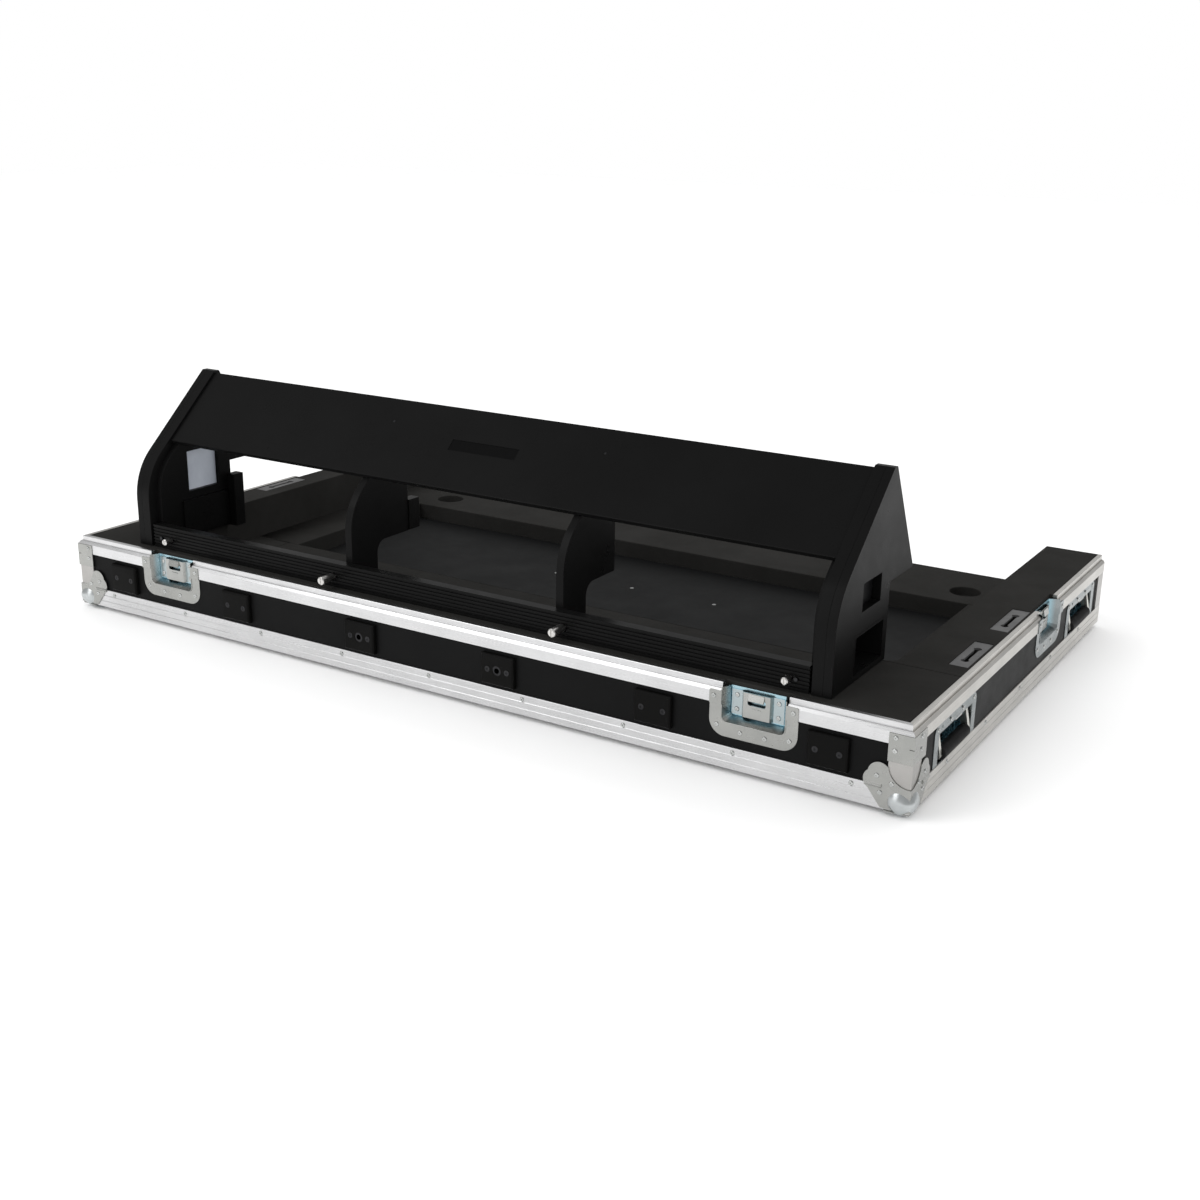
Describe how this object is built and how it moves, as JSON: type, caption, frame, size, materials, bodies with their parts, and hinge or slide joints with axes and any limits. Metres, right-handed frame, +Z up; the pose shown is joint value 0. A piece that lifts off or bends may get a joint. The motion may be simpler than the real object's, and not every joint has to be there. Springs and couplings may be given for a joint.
{
  "type": "mixer flight case tray",
  "caption": "Open base tray of a flight case for a mixer, foam lined, with recessed handles, latch keepers and a lift-off cradle with a sloped panel.",
  "frame": {"origin": "bottom centre of the whole object, on the floor under the feet", "axes": "+X to the right along the front, +Y from the front to the back, +Z up"},
  "size_m": [1.442, 0.8572, 0.378],
  "materials": {
    "panel_black": "plywood faced with black pebbled laminate",
    "aluminium": "satin anodised extrusion",
    "zinc": "bright zinc plated pressed steel",
    "bail_steel": "zinc plated flat steel",
    "grip_black": "moulded black grip, satin",
    "spring_steel": "bright spring wire",
    "rivet_steel": "bright steel heads",
    "screw_black": "dark zinc screws",
    "screw_bright": "small bright heads",
    "pad_black": "black block with bevelled edges",
    "brass_insert": "nickel plated threaded insert",
    "pin_steel": "turned stainless steel",
    "foam": "charcoal closed-cell foam",
    "floor_board": "dark grey sheet",
    "plate_grey": "grey painted steel, satin",
    "cradle_board": "black stained plywood, satin",
    "window_white": "frosted white sheet",
    "cup_black": "black moulded cup",
    "name_plate": "blank dark plate",
    "foot_rubber": "black rubber"
  },
  "bodies": {
    "tray": {"ball_corners": "zinc", "base_board": "panel_black", "bottom_rivets": "rivet_steel", "corner_angles": "aluminium", "corner_braces": "zinc", "corner_rivets": "rivet_steel", "floor_screws": "screw_bright", "floor_sheet": "floor_board", "foam_front_ledge": "foam", "foam_left_ledge": "foam", "foam_rear_block": "foam", "foam_right_ledge": "foam", "foam_step": "foam", "front_board": "panel_black", "front_bottom_angle": "aluminium", "front_latch_dishes": "zinc", "front_pads": "pad_black", "front_rim": "aluminium", "handle_pins": "zinc", "handle_rivets": "rivet_steel", "handle_springs": "spring_steel", "insert_pads": "pad_black", "latch_keepers": "zinc", "latch_rivets": "rivet_steel", "ledge_slot_plates": "plate_grey", "left_board": "panel_black", "left_bottom_angle": "aluminium", "left_handle_dishes": "zinc", "left_rim": "aluminium", "pad_inserts": "brass_insert", "pad_screws": "screw_black", "rear_board": "panel_black", "rear_bottom_angle": "aluminium", "rear_feet": "foot_rubber", "right_board": "panel_black", "right_bottom_angle": "aluminium", "right_handle_dishes": "zinc", "right_rim": "aluminium", "side_latch_dishes": "zinc"},
    "cradle": {"cheek_cups": "cup_black", "cheek_linings": "cradle_board", "cheek_middle_plates": "cradle_board", "cheek_outer_plates": "cradle_board", "cheek_window_plates": "window_white", "cradle_screws": "screw_black", "long_pins": "pin_steel", "panel_name_plate": "name_plate", "rear_battens": "cradle_board", "ribs": "cradle_board", "short_pins": "pin_steel", "sill_board": "cradle_board", "sloped_panel": "cradle_board"},
    "handle_left_front": {"handle_bail_left_front": "bail_steel", "handle_grip_left_front": "grip_black"},
    "handle_left_rear": {"handle_bail_left_rear": "bail_steel", "handle_grip_left_rear": "grip_black"},
    "handle_right_front": {"handle_bail_right_front": "bail_steel", "handle_grip_right_front": "grip_black"},
    "handle_right_rear": {"handle_bail_right_rear": "bail_steel", "handle_grip_right_rear": "grip_black"}
  },
  "joints": [
    {"name": "cradle_lift", "type": "slide", "parent": "tray", "child": "cradle", "axis": [0, 0, 1], "range_m": [0, 0.25]},
    {"name": "handle_right_front_swing", "type": "hinge", "parent": "tray", "child": "handle_right_front", "pos_m": [0.705, -0.2706, 0.072], "axis": [0, -1, 0], "range_deg": [0, 75], "stiffness_Nm_per_rad": 0.05, "springref_deg": -34.38},
    {"name": "handle_right_rear_swing", "type": "hinge", "parent": "tray", "child": "handle_right_rear", "pos_m": [0.705, 0.3014, 0.072], "axis": [0, -1, 0], "range_deg": [0, 75], "stiffness_Nm_per_rad": 0.05, "springref_deg": -34.38},
    {"name": "handle_left_front_swing", "type": "hinge", "parent": "tray", "child": "handle_left_front", "pos_m": [-0.705, -0.2706, 0.072], "axis": [0, 1, 0], "range_deg": [0, 75], "stiffness_Nm_per_rad": 0.05, "springref_deg": -34.38},
    {"name": "handle_left_rear_swing", "type": "hinge", "parent": "tray", "child": "handle_left_rear", "pos_m": [-0.705, 0.3014, 0.072], "axis": [0, 1, 0], "range_deg": [0, 75], "stiffness_Nm_per_rad": 0.05, "springref_deg": -34.38}
  ]
}
